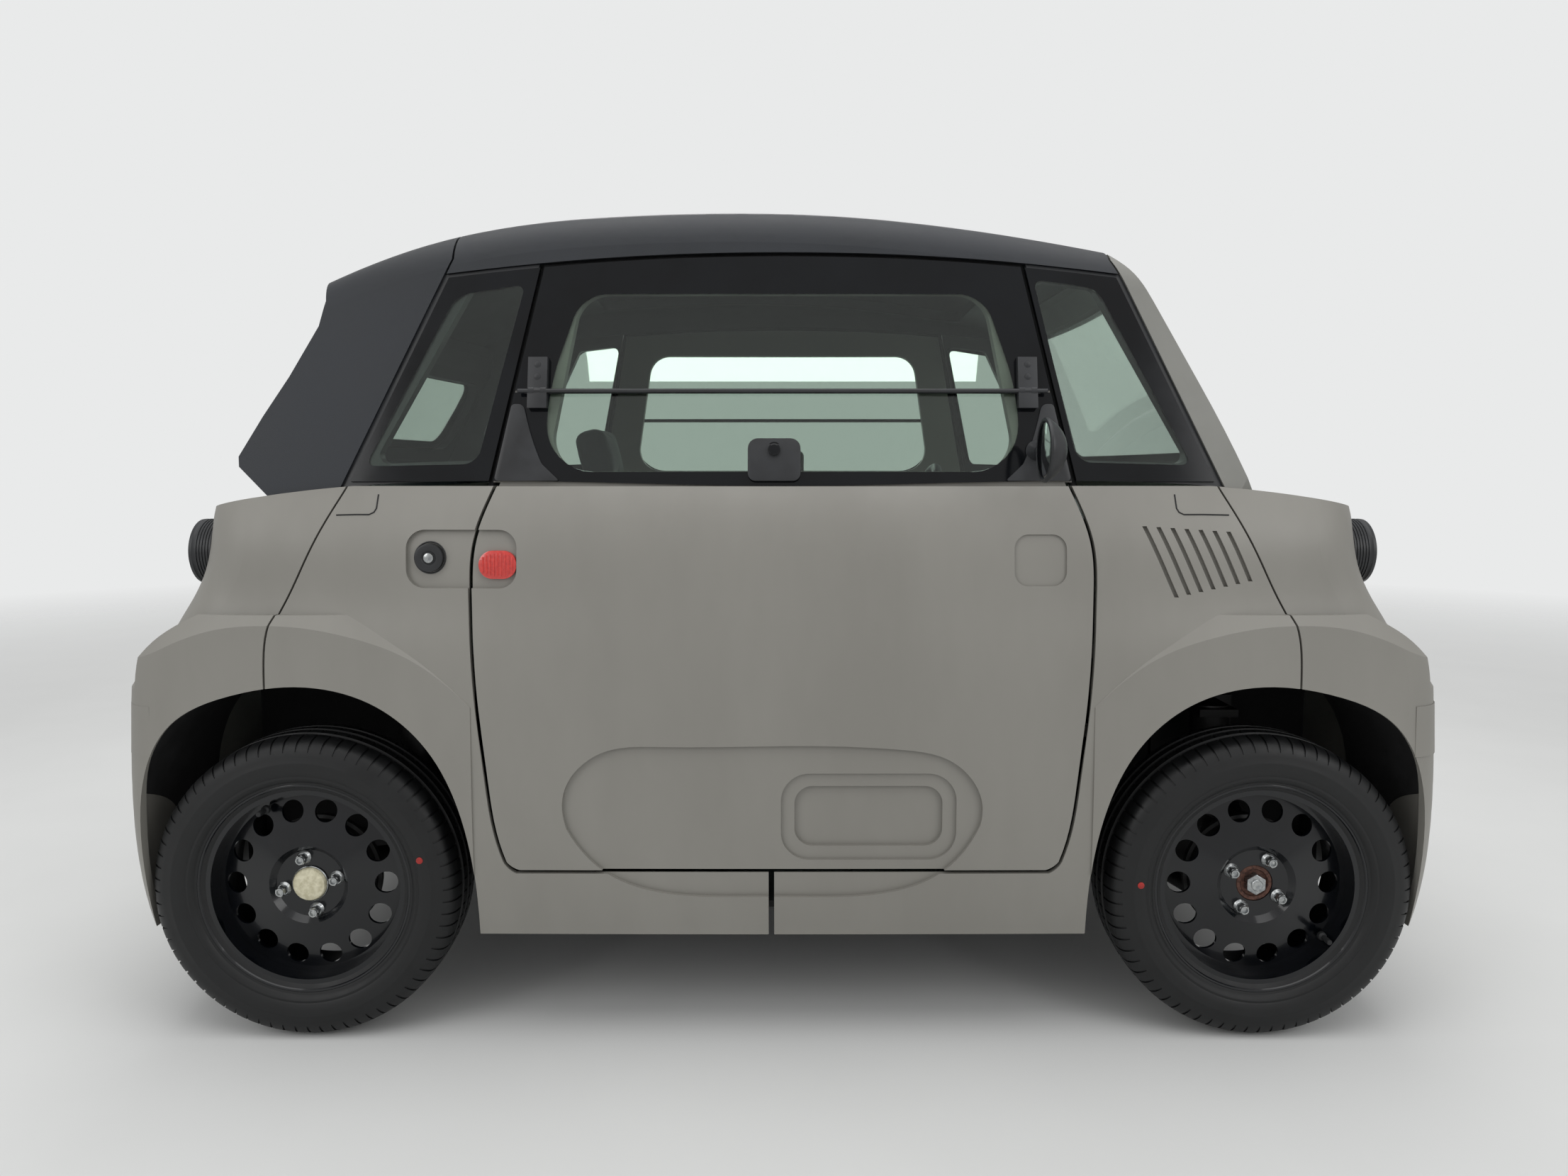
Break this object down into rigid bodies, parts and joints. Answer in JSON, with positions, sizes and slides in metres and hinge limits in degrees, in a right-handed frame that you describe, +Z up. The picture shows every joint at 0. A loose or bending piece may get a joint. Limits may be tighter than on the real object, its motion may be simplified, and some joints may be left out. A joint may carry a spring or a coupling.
{
  "type": "microcar",
  "caption": "Small two-seat electric car with matching front and rear panels, hinged side doors, steered front wheels and free-turning wheels.",
  "frame": {"origin": "on the ground, at mid-length and mid-width, under the centre of the car", "axes": "+X forward, +Y to the car's left, +Z up"},
  "size_m": [2.4096, 1.55, 1.5263],
  "materials": {
    "panel_grey": "matte moulded-in warm grey",
    "roof_charcoal": "grained charcoal plastic",
    "trim_black": "satin black",
    "cabin_plastic": "matte dark grey",
    "underbody_plastic": "rough black liner plastic",
    "chassis_black": "black coated steel",
    "battery_case": "grey coated case",
    "motor_alloy": "cast alloy",
    "cast_metal": "cast with light rust",
    "wheel_black": "satin black painted steel",
    "tyre_rubber": "used road rubber",
    "tinted_glass": "tinted with black border",
    "clear_glass": "pale green laminated",
    "lamp_clear": "clear ribbed lens",
    "lamp_red": "red lens",
    "seat_cloth": "dark woven cloth"
  },
  "bodies": {
    "body": {"chassis_rails": "chassis_black", "cross_members": "chassis_black", "floor_pan": "underbody_plastic", "footwell": "underbody_plastic", "front_bay": "underbody_plastic", "rear_bay": "underbody_plastic", "door_hinge_posts": "chassis_black", "battery_pack": "battery_case", "motor_unit": "motor_alloy", "nose_panel_front": "panel_grey", "nose_panel_rear": "panel_grey", "fender_front_right": "panel_grey", "fender_rear_right": "panel_grey", "fender_front_left": "panel_grey", "fender_rear_left": "panel_grey", "roof_shell": "roof_charcoal", "roof_glass": "tinted_glass", "windscreen_frame": "panel_grey", "windscreen": "clear_glass", "tail_panel": "roof_charcoal", "rear_window": "tinted_glass", "quarter_windows": "tinted_glass", "pillar_frames": "trim_black", "lamp_housings": "trim_black", "headlamp_lenses": "lamp_clear", "taillamp_lenses": "lamp_red", "front_wheel_liners": "underbody_plastic", "rear_wheel_liners": "underbody_plastic", "seat_driver": "seat_cloth", "seat_passenger": "seat_cloth", "dashboard": "cabin_plastic", "steering_column": "cabin_plastic", "pedals": "trim_black", "rear_suspension": "chassis_black", "front_control_arms": "chassis_black", "door_openers": "trim_black"},
    "steering_wheel": {"steering_wheel": "cabin_plastic"},
    "door_right": {"door_panel_right": "panel_grey", "door_glass_right": "tinted_glass", "window_hinges_right": "trim_black", "mirror_right": "trim_black"},
    "knuckle_right": {"knuckle_front_right": "cast_metal"},
    "door_left": {"door_panel_left": "panel_grey", "door_glass_left": "tinted_glass", "window_hinges_left": "trim_black", "mirror_left": "trim_black"},
    "knuckle_left": {"knuckle_front_left": "cast_metal"},
    "wheel_front_right": {"tyre_front_right": "tyre_rubber", "rim_front_right": "wheel_black"},
    "wheel_front_left": {"tyre_front_left": "tyre_rubber", "rim_front_left": "wheel_black"},
    "wheel_rear_right": {"tyre_rear_right": "tyre_rubber", "rim_rear_right": "wheel_black"},
    "wheel_rear_left": {"tyre_rear_left": "tyre_rubber", "rim_rear_left": "wheel_black"}
  },
  "joints": [
    {"name": "door_right_open", "type": "hinge", "parent": "body", "child": "door_right", "pos_m": [0.585, -0.669, 0.65], "axis": [0, 0, 1], "range_deg": [0, 70]},
    {"name": "steer_right", "type": "hinge", "parent": "body", "child": "knuckle_right", "pos_m": [0.865, -0.55, 0.2785], "axis": [0, 0, 1], "range_deg": [-30, 30]},
    {"name": "door_left_open", "type": "hinge", "parent": "body", "child": "door_left", "pos_m": [-0.585, 0.669, 0.65], "axis": [0, 0, 1], "range_deg": [0, 70]},
    {"name": "steer_left", "type": "hinge", "parent": "body", "child": "knuckle_left", "pos_m": [0.865, 0.55, 0.2785], "axis": [0, 0, 1], "range_deg": [-30, 30]},
    {"name": "spin_front_right", "type": "hinge", "parent": "knuckle_right", "child": "wheel_front_right", "pos_m": [0.865, -0.59, 0.2785], "axis": [0, 1, 0], "continuous": true},
    {"name": "spin_front_left", "type": "hinge", "parent": "knuckle_left", "child": "wheel_front_left", "pos_m": [0.865, 0.59, 0.2785], "axis": [0, 1, 0], "continuous": true},
    {"name": "spin_rear_right", "type": "hinge", "parent": "body", "child": "wheel_rear_right", "pos_m": [-0.865, -0.59, 0.2785], "axis": [0, 1, 0], "continuous": true},
    {"name": "spin_rear_left", "type": "hinge", "parent": "body", "child": "wheel_rear_left", "pos_m": [-0.865, 0.59, 0.2785], "axis": [0, 1, 0], "continuous": true},
    {"name": "steering_wheel_turn", "type": "hinge", "parent": "body", "child": "steering_wheel", "pos_m": [0.33, 0.285, 0.88], "axis": [-0.9135, 0, 0.4067], "range_deg": [-365, 365]}
  ],
  "couplings": [
    {"joint": "steer_left", "follows": "steer_right", "ratio": 1},
    {"joint": "steering_wheel_turn", "follows": "steer_right", "ratio": 12}
  ]
}
